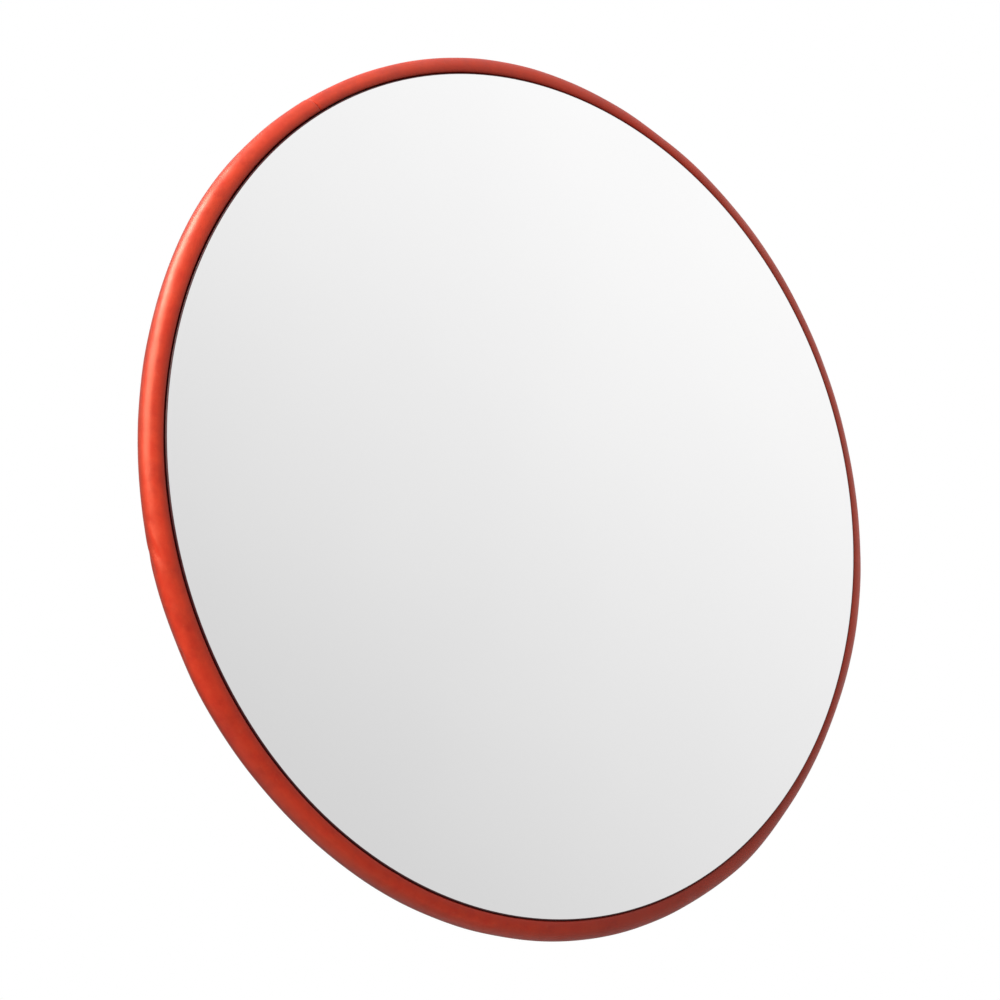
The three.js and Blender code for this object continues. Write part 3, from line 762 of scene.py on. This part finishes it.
def make_shell():
    outer_dish = shell_outline(0)
    inner_dish = shell_outline(SHELL_T)
    seat = SEAT_Y - TRIM_Y
    corners = [
        (FLANGE_R, -SHELL_FLANGE_BACK, 0.4 * MM),
        (outer_dish[0][0] + 0.5 * MM, -SHELL_FLANGE_BACK, 0.5 * MM),
        (outer_dish[1][0], outer_dish[1][1], 3 * MM),
        (SHELL_SHOULDER_R + 8.3 * MM, -18.3 * MM, 5.5 * MM),
        (*outer_dish[2], 3.5 * MM),
    ]
    outside = rounded(corners + [(*outer_dish[3], 0)], closed=False, steps=5)[1:-1]
    outside += outer_dish[3:]
    hub = rounded([
        (*outer_dish[-2], 0),
        (*outer_dish[-1], 2 * MM),
        (SHELL_SEAT_R + 2.2 * MM, -seat, 2.6 * MM),
        (SHELL_SEAT_R - 14 * MM, -seat, 0),
    ], closed=False, steps=4)[1:]
    groove = rounded([
        (84 * MM, -seat, 0.6 * MM), (83 * MM, -seat + 1.2 * MM, 0.5 * MM),
        (80 * MM, -seat + 1.2 * MM, 0.5 * MM), (79 * MM, -seat, 0.6 * MM),
    ], closed=False)
    outside = outside[:-1] + hub[:-1] + groove + [(0, -seat)]
    inside = [(FLANGE_R, -SHELL_FLANGE_BACK + 2.7 * MM)]
    inside += rounded([
        (*inside[0], 0),
        (inner_dish[0][0], -SHELL_FLANGE_BACK + 2.7 * MM, 1 * MM),
        (inner_dish[1][0], inner_dish[1][1], 2 * MM),
        (*inner_dish[2], 4 * MM),
        (*inner_dish[3], 0),
    ], closed=False, steps=4)[1:]
    inside += inner_dish[4:]
    inside += [(SHELL_SEAT_R - 1 * MM, -seat + SHELL_T), (0, -seat + SHELL_T)]
    bm = spun(outside[::-1] + inside, SHELL_STEPS, closed=False)
    gather_to_ribs(bm)
    bm = about_mirror(tidy(bm))
    holes = drills("seat", SEAT_HOLE_R, lambda at: Matrix.Translation((at.x, SEAT_Y, at.z)) @ FACING)
    for x in (-DRAIN_X, DRAIN_X):
        drain = Matrix.Translation((x, TRIM_Y + 25 * MM, -DRAIN_DROP))
        holes.append(moved(pin(DRAIN_R, THROUGH), drain @ FACING))
    bm = combined(bm, holes, "DIFFERENCE")
    piece("moulded_shell", tidy(bm), "back_shell", SHELL)


# ---------------------------------------------------------------- plates and yoke


def seat_plate(name, node, corner, material, ease):
    low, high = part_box(node)
    bm = rounded_plate(high.x - low.x, corner, high.y - low.y)
    bm = eased(combined(bm, drills("seat", SEAT_HOLE_R, in_plate), "DIFFERENCE"), ease)
    piece(name, moved(bm, Matrix.Translation((0, high.y, 0)) @ FACING), node, material)


EAR_T = 4 * MM
EAR_ROOT = 64 * MM
TAB_ROOT = 62 * MM
EAR_INSIDE = abs(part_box("tilt_head_washer")[1].x) - GAP - EAR_T


def straight(start, end, steps=60):
    start, end = Vector(start), Vector(end)
    return [start.lerp(end, i / steps) for i in range(steps + 1)]


def make_yoke():
    low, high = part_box("yoke_bracket")
    base_t = 4 * MM
    base = rounded_plate(high.x - low.x, 10 * MM, base_t)
    base = eased(combined(base, drills("seat", SEAT_HOLE_R, in_plate), "DIFFERENCE"), 0.7 * MM)
    parts = [moved(base, Matrix.Translation((0, low.y + base_t, 0)) @ FACING)]
    reach = TILT_Y - low.y - base_t + GAP
    for side in (-1, 1):
        x = side * (EAR_INSIDE + EAR_T / 2)
        ear = lug(LUG_END_R, EAR_ROOT, reach, EAR_T)
        ear = eased(combined(ear, [pin(PIVOT_HOLE_R, 20 * MM, 48)], "DIFFERENCE"), 0.7 * MM)
        upright = Matrix.Rotation(math.radians(90), 4, "Y") @ Matrix.Rotation(math.radians(-90), 4, "Z")
        parts.append(moved(ear, Matrix.Translation((x, TILT_Y, 0)) @ upright))
        foot = low.y + base_t + 0.6 * MM
        for face in (-1, 1):
            at = x + face * (EAR_T / 2 + 0.5 * MM)
            parts.append(weld(straight((at, foot, -31 * MM), (at, foot, 31 * MM)), 1.9 * MM, closed=False))
    piece("welded_yoke", joined(*parts), "yoke_bracket", GALVANISED)


def make_arm():
    eye_r = extent("swivel_arm").y / 2 - abs(TILT_Y - PAN_Y) / 2
    tilt_length = extent("swivel_arm").x
    pan_length = extent("swivel_arm").z
    bar_w, bar_h = 22 * MM, 30 * MM
    ease = 1.2 * MM
    bore_ease = 0.6 * MM

    def eye(length):
        half = length / 2
        return spun(rounded([
            (PIVOT_HOLE_R, -half, bore_ease), (eye_r, -half, ease),
            (eye_r, half, ease), (PIVOT_HOLE_R, half, bore_ease),
        ]), 64)

    tilt_eye = moved(eye(tilt_length), Matrix.Translation((0, TILT_Y, 0)) @ Matrix.Rotation(TURN / 4, 4, "Y"))
    pan_eye = moved(eye(pan_length), Matrix.Translation((0, PAN_Y, 0)))
    bar = eased(box((bar_w, PAN_Y - TILT_Y - 2 * eye_r + 14 * MM, bar_h)), 2 * MM, 3)
    bar = moved(bar, Matrix.Translation((0, (TILT_Y + PAN_Y) / 2, 0)))
    outline = rounded([
        (bar_w / 2, bar_h / 2, 2 * MM), (-bar_w / 2, bar_h / 2, 2 * MM),
        (-bar_w / 2, -bar_h / 2, 2 * MM), (bar_w / 2, -bar_h / 2, 2 * MM),
    ])
    loop = []
    for i, (x, z) in enumerate(outline):
        following = outline[(i + 1) % len(outline)]
        count = max(1, round(math.dist((x, z), following) / (0.6 * MM)))
        for k in range(count):
            loop.append((x + (following[0] - x) * k / count, z + (following[1] - z) * k / count))
    at_tilt = [(x, TILT_Y + math.sqrt(max(0, eye_r ** 2 - z ** 2)) + 0.5 * MM, z) for x, z in loop]
    at_pan = [(x, PAN_Y - math.sqrt(max(0, eye_r ** 2 - x ** 2)) - 0.5 * MM, z) for x, z in loop]
    beads = [weld(at_tilt, 2.0 * MM), weld(at_pan, 2.0 * MM)]
    piece("welded_arm", joined(tilt_eye, pan_eye, bar, *beads), "swivel_arm", GALVANISED)


# ---------------------------------------------------------------- post clamp


def hoop_line():
    """The middle line of half a hoop, on the -Y side of the post."""
    radius = HOOP_OUT - HOOP_T / 2
    flange_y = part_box("clamp_rear")[0].y + HOOP_T / 2
    bend = 6 * MM
    bend_y = flange_y + bend
    bend_x = math.sqrt((radius + bend) ** 2 - bend_y ** 2)
    lean = math.degrees(math.atan2(bend_y, bend_x))
    left = arc((-bend_x, -bend_y), bend, 90, lean, 7)
    hoop = arc((0, 0), radius, 180 + lean, 360 - lean, 44)
    right = arc((bend_x, -bend_y), bend, 180 - lean, 90, 7)
    return [(-FLANGE_X, -flange_y)] + left + hoop[1:-1] + right + [(FLANGE_X, -flange_y)]


def half_hoop():
    bm = bmesh.new()
    verts = [bm.verts.new((x, y, -HOOP_H / 2)) for x, y in hoop_line()]
    edges = [bm.edges.new(pair) for pair in zip(verts, verts[1:])]
    raised = bmesh.ops.extrude_edge_only(bm, edges=edges)
    top = [item for item in raised["geom"] if isinstance(item, bmesh.types.BMVert)]
    bmesh.ops.translate(bm, verts=top, vec=(0, 0, HOOP_H))
    strip = as_object("strip", bm)
    wall = strip.modifiers.new("wall", "SOLIDIFY")
    wall.thickness = HOOP_T
    wall.offset = 0
    wall.use_even_offset = True
    solid = tidy(settled(strip))
    holes = drills("clamp", CLAMP_HOLE_R, lambda at: Matrix.Translation((at.x, 0, at.z)) @ FACING, 60 * MM)
    return eased(combined(solid, holes, "DIFFERENCE"), 0.8 * MM)


def clamp_tab(z, thickness):
    root_r = HOOP_OUT - HOOP_T / 2
    tab = lug(LUG_END_R, TAB_ROOT, abs(PAN_Y) - 24 * MM, thickness)
    tab = moved(tab, Matrix.Translation((0, PAN_Y, z)) @ Matrix.Rotation(TURN / 4, 4, "Z"))
    cuts = [moved(pin(root_r, 20 * MM, 128), Matrix.Translation((0, 0, z))),
            moved(pin(PIVOT_HOLE_R, 20 * MM, 48), Matrix.Translation((0, PAN_Y, z)))]
    return eased(combined(tab, cuts, "DIFFERENCE"), 0.8 * MM)


def make_clamp():
    tab_t = 5 * MM
    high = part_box("pan_head_washer")[0].z - GAP
    middle = high - tab_t / 2
    parts = [half_hoop()]
    for side in (-1, 1):
        parts.append(clamp_tab(side * middle, tab_t))
        for face in (-1, 1):
            z = side * middle + face * (tab_t / 2 + 0.3 * MM)
            bead = arc((0, 0), HOOP_OUT + 0.7 * MM, 270 - 38, 270 + 38, 96)
            parts.append(weld([(x, y, z) for x, y in bead], 1.7 * MM, closed=False))
    piece("clamp_front_half", joined(*parts), "clamp_front", GALVANISED)
    rear = moved(half_hoop(), Matrix.Rotation(math.pi, 4, "Z"))
    piece("clamp_rear_half", rear, "clamp_rear", GALVANISED)


def make_liners():
    low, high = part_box("clamp_liner_front")
    inner = POST_R
    outer = -low.y
    half = (high.z - low.z) / 2
    edge = math.asin(-high.y / inner)
    ease = 0.5 * MM
    section = rounded([(inner, -half, ease), (outer, -half, ease), (outer, half, ease), (inner, half, ease)])
    for name, node, start in (("liner_front", "clamp_liner_front", math.pi + edge),
                              ("liner_rear", "clamp_liner_rear", edge)):
        bm = spun(section, 72, angle=math.pi - 2 * edge)
        piece(name, moved(bm, Matrix.Rotation(start, 4, "Z")), node, RUBBER)


# ---------------------------------------------------------------- fasteners


def thread(radius, pitch, length, steps=28):
    """A right-hand screw thread along Z from 0 to its length."""
    depth = 0.6 * pitch
    turns = int(length / pitch) + 4
    bm = bmesh.new()
    verts = []
    for i in range(turns):
        z = (i - 2) * pitch
        for r, up in ((radius - depth, 0.0), (radius - depth, 0.14), (radius, 0.46), (radius, 0.6)):
            verts.append(bm.verts.new((r, 0, z + up * pitch)))
    edges = [bm.edges.new(pair) for pair in zip(verts, verts[1:])]
    bmesh.ops.spin(bm, geom=verts + edges, cent=(0, 0, 0), axis=(0, 0, 1), dvec=(0, 0, pitch / steps),
                   angle=TURN, steps=steps, use_merge=False)
    bmesh.ops.remove_doubles(bm, verts=bm.verts, dist=1e-6)
    for z, up in ((0, -1), (length, 1)):
        bmesh.ops.bisect_plane(bm, geom=bm.verts[:] + bm.edges[:] + bm.faces[:], dist=1e-8,
                               plane_co=(0, 0, z), plane_no=(0, 0, up), clear_outer=True)
    bmesh.ops.holes_fill(bm, edges=[e for e in bm.edges if e.is_boundary], sides=0)
    return tidy(bm)


def hexagon(flats, height, both_ends):
    """A hexagonal head or nut from 0 to its height, with its corners turned off."""
    bm = bmesh.new()
    across = flats / math.sqrt(3)
    bmesh.ops.create_cone(bm, cap_ends=True, segments=6, radius1=across, radius2=across, depth=height)
    moved(bm, Matrix.Translation((0, 0, height / 2)))
    flat_r = flats / 2 * 0.95
    wide = across + 1 * MM
    slope = (wide - flat_r) * math.tan(math.radians(30))
    low_r, low = (flat_r, slope) if both_ends else (wide, 0.0001 * MM)
    barrel = spun([(0, 0), (low_r, 0), (wide, low), (wide, height - slope), (flat_r, height), (0, height)],
                  72, closed=False)
    return combined(bm, [barrel], "INTERSECT")


# Thread radius, pitch, across flats of head and nut, height of head, length of thread
SIZES = {
    "seat": (4 * MM, 1.25 * MM, 13 * MM, 5.3 * MM, 24 * MM),
    "clamp": (5 * MM, 1.5 * MM, 16 * MM, 6.4 * MM, 24 * MM),
    "tilt": (6 * MM, 1.75 * MM, 18 * MM, 7.5 * MM, 26 * MM),
    "pan": (6 * MM, 1.75 * MM, 18 * MM, 7.5 * MM, 26 * MM),
}
AXES = {"seat": (0, 1, 0), "clamp": (0, 1, 0), "tilt": (1, 0, 0), "pan": (0, 0, -1)}


def along(direction, node):
    """Where a node starts and how long it is along a bolt's direction."""
    low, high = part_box(node)
    start = low if sum(direction) > 0 else high
    middle = (low + high) / 2
    axis = Vector(direction)
    base = middle + axis * (start - middle).dot(axis)
    return base, abs((high - low).dot(axis))


def stood(bm, base, direction, turn=0.0):
    """Stand a piece made along +Z on a point, facing a direction."""
    facing = Vector((0, 0, 1)).rotation_difference(Vector(direction)).to_matrix().to_4x4()
    return moved(bm, Matrix.Translation(base) @ facing @ Matrix.Rotation(turn, 4, "Z"))


def make_bolt(kind, node, turn):
    radius, pitch, flats, head_h, thread_length = SIZES[kind]
    base, whole = along(AXES[kind], node)
    threaded = min(whole - head_h, thread_length)
    plain = whole - head_h - threaded
    head = moved(hexagon(flats, head_h, False), Matrix.Rotation(math.pi, 4, "X"))
    head = moved(head, Matrix.Translation((0, 0, head_h)))
    parts = [eased(head, 0.25 * MM, 2, 25)]
    shank = pin(radius, plain + 1 * MM, 32)
    parts.append(moved(shank, Matrix.Translation((0, 0, head_h + plain / 2 - 0.2 * MM))))
    parts.append(moved(thread(radius, pitch, threaded), Matrix.Translation((0, 0, head_h + plain))))
    piece(f"{node}_turned", stood(joined(*parts), base, AXES[kind], turn), node, ZINC)


def make_nut(kind, node, turn):
    radius, _, flats, _, _ = SIZES[kind]
    base, height = along(AXES[kind], node)
    body = hexagon(flats, height, True)
    bore = spun([(0, -1 * MM), (radius * 1.12, -1 * MM), (radius * 1.12, 0), (radius * 1.02, 0.7 * MM),
                 (radius * 1.02, height - 0.7 * MM), (radius * 1.12, height),
                 (radius * 1.12, height + 1 * MM), (0, height + 1 * MM)], 40, closed=False)
    body = eased(combined(body, [bore], "DIFFERENCE"), 0.2 * MM, 2, 25)
    piece(f"{node}_cut", stood(body, base, AXES[kind], turn), node, ZINC)


def make_ring(kind, node, material=ZINC, ease=0.35 * MM):
    low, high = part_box(node)
    direction = AXES[kind]
    base, height = along(direction, node)
    outer = max(high - low) / 2
    inner = SIZES[kind][0] + GAP
    outline = rounded([(inner, 0, ease), (outer, 0, ease), (outer, height, ease), (inner, height, ease)])
    piece(f"{node}_ring", stood(spun(outline, 48), base, direction), node, material)


def make_lock_washer(kind, node):
    low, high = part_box(node)
    direction = AXES[kind]
    base, height = along(direction, node)
    outer = max(high - low) / 2
    inner = SIZES[kind][0] + GAP
    spring = 0.16 * height
    ease = 0.25 * MM
    outline = rounded([(inner, 0, ease), (outer, 0, ease), (outer, height - spring, ease),
                       (inner, height - spring, ease)])
    slit = 0.16
    bm = spun(outline, 60, angle=TURN - 2 * slit, rise=spring)
    bmesh.ops.rotate(bm, verts=bm.verts, cent=(0, 0, 0), matrix=Matrix.Rotation(slit, 3, "Z"))
    piece(f"{node}_split_ring", stood(bm, base, direction), node, ZINC)


def make_fasteners():
    for kind in ("seat", "clamp", "tilt", "pan"):
        numbers = [f"_{i}" for i in range(1, 5)] if kind in ("seat", "clamp") else [""]
        for count, number in enumerate(numbers):
            turn = math.radians(17 + 23 * count)
            make_bolt(kind, f"{kind}_bolt{number}", turn)
            make_nut(kind, f"{kind}_nut{number}", turn * 1.7)
            make_ring(kind, f"{kind}_washer{number}")
            make_lock_washer(kind, f"{kind}_lock_washer{number}")
    for kind in ("tilt", "pan"):
        make_ring(kind, f"{kind}_head_washer")
    for kind, sides in (("tilt", ("left", "right")), ("pan", ("lower", "upper"))):
        for side in sides:
            make_ring(kind, f"{kind}_friction_disc_{side}", NYLON, 0.3 * MM)


make_lens()
make_seal()
make_trim()
make_shell()
seat_plate("stiffener", "stiffener_plate", 12 * MM, GALVANISED, 0.5 * MM)
seat_plate("rubber_pad", "mount_pad", 10 * MM, RUBBER, 0.5 * MM)
make_yoke()
make_arm()
make_clamp()
make_liners()
make_fasteners()


# ---------------------------------------------------------------- floor, lights and camera

FLOOR_DROP = 2.2
FLOOR_R = 4.0
AMBIENT_CUT = 0.56


def make_floor():
    bm = bmesh.new()
    bmesh.ops.create_circle(bm, cap_ends=True, segments=96, radius=FLOOR_R)
    floor = as_object("floor", bm)
    floor.location.z = -FLOOR_DROP
    finish = Finish("pale_floor", Roughness=0.85)
    finish.shader.inputs["Base Color"].default_value = (0.86, 0.86, 0.86, 1.0)
    distance = finish.node("ShaderNodeVectorMath", operation="LENGTH")
    finish.join(finish.place, distance.inputs[0])
    fade = finish.spread(distance.outputs["Value"], 0.0, 1.0, 0.35 * FLOOR_R, 0.95 * FLOOR_R)
    side = finish.node("ShaderNodeNewGeometry").outputs["Backfacing"]
    unseen = finish.node("ShaderNodeMath", operation="MAXIMUM")
    finish.join(fade, unseen.inputs[0])
    finish.join(side, unseen.inputs[1])
    clear = finish.node("ShaderNodeBsdfTransparent")
    blend = finish.node("ShaderNodeMixShader")
    finish.join(unseen.outputs["Value"], blend.inputs["Fac"])
    finish.join(finish.shader.outputs["BSDF"], blend.inputs[1])
    finish.join(clear.outputs["BSDF"], blend.inputs[2])
    finish.join(blend.outputs["Shader"], finish.tree.nodes["Material Output"].inputs["Surface"])
    floor.data.materials.append(finish.material)


def soft_light(name, azimuth, elevation, distance, size, power,
               colour=(1, 1, 1), shown=True, cast=True):
    """A round light that looks at the mirror, from an azimuth and elevation in degrees."""
    target = Vector((0, TRIM_Y, 0))
    a, e = math.radians(azimuth), math.radians(elevation)
    back = Vector((math.sin(a) * math.cos(e), -math.cos(a) * math.cos(e), math.sin(e)))
    light = bpy.data.lights.new(name, "AREA")
    light.shape = "DISK"
    light.size = size
    light.energy = power
    light.color = colour
    lamp = bpy.data.objects.new(name, light)
    lamp.location = target + back * distance
    lamp.rotation_euler = (-back).to_track_quat("-Z", "Y").to_euler()
    lamp.visible_glossy = shown
    lamp.visible_diffuse = cast
    bpy.context.scene.collection.objects.link(lamp)


def make_world():
    """White to the eye. What the pieces reflect lightens upwards and to the right, and dims behind them."""
    world = bpy.data.worlds.new("studio")
    bpy.context.scene.world = world
    world.use_nodes = True
    tree = world.node_tree
    tree.nodes.clear()

    def maths(operation, first, second, clamp=False):
        made = tree.nodes.new("ShaderNodeMath")
        made.operation = operation
        made.use_clamp = clamp
        for value, socket in zip((first, second), made.inputs):
            if isinstance(value, (int, float)):
                socket.default_value = value
            else:
                tree.links.new(value, socket)
        return made.outputs["Value"]

    place = tree.nodes.new("ShaderNodeTexCoord").outputs["Generated"]
    slope = tree.nodes.new("ShaderNodeVectorMath")
    slope.operation = "DOT_PRODUCT"
    slope.inputs[1].default_value = (0.239, 0.0, 0.368)
    tree.links.new(place, slope.inputs[0])
    level = maths("MINIMUM", maths("MAXIMUM", maths("ADD", slope.outputs["Value"], 0.684), 0.2), 1.05)
    axes = tree.nodes.new("ShaderNodeSeparateXYZ")
    tree.links.new(place, axes.inputs["Vector"])
    behind = tree.nodes.new("ShaderNodeMapRange")
    behind.interpolation_type = "SMOOTHSTEP"
    for socket, value in (("From Min", -0.35), ("From Max", 0.7), ("To Min", 1.0), ("To Max", 0.5)):
        behind.inputs[socket].default_value = value
    tree.links.new(axes.outputs["Y"], behind.inputs["Value"])
    path = tree.nodes.new("ShaderNodeLightPath")
    soft = maths("SUBTRACT", 1.0, maths("MULTIPLY", path.outputs["Is Diffuse Ray"], AMBIENT_CUT))
    around = tree.nodes.new("ShaderNodeBackground")
    strength = maths("MULTIPLY", maths("MULTIPLY", level, behind.outputs["Result"]), soft)
    tree.links.new(strength, around.inputs["Strength"])
    seen = tree.nodes.new("ShaderNodeBackground")
    mix = tree.nodes.new("ShaderNodeMixShader")
    seen.inputs["Color"].default_value = (1, 1, 1, 1)
    around.inputs["Color"].default_value = (1, 1, 1, 1)
    tree.links.new(path.outputs["Is Camera Ray"], mix.inputs["Fac"])
    tree.links.new(around.outputs["Background"], mix.inputs[1])
    tree.links.new(seen.outputs["Background"], mix.inputs[2])
    output = tree.nodes.new("ShaderNodeOutputWorld")
    tree.links.new(mix.outputs["Shader"], output.inputs["Surface"])


def make_camera():
    """Left of the mirror and below it, looking up at it."""
    azimuth, elevation = math.radians(-36.8), math.radians(-13.5)
    distance = 2.5
    sine, cosine = math.sin(elevation), math.cos(elevation)
    back = Vector((math.sin(azimuth) * cosine, -math.cos(azimuth) * cosine, sine))
    right = Vector((math.cos(azimuth), math.sin(azimuth), 0))
    upward = back.cross(right)
    lens = bpy.data.cameras.new("camera")
    lens.lens = 134.2
    lens.sensor_width = 36
    camera = bpy.data.objects.new("camera", lens)
    camera.location = Vector((0, TRIM_Y, 0)) + back * distance - right * 0.0157 - upward * 0.0054
    camera.rotation_euler = (-back).to_track_quat("-Z", "Y").to_euler()
    bpy.context.scene.collection.objects.link(camera)
    bpy.context.scene.camera = camera


make_floor()
make_world()
soft_light("key", -86, 22, 2.2, 1.7, 58, colour=(1.0, 0.95, 0.88))
soft_light("sheen", -105, 48, 2.4, 1.2, 66, cast=False)
soft_light("back", 190, 38, 2.6, 1.8, 60, shown=False)
soft_light("fill", 20, 60, 3.0, 1.8, 8, shown=False)
make_camera()
bpy.context.scene.view_settings.view_transform = "Standard"
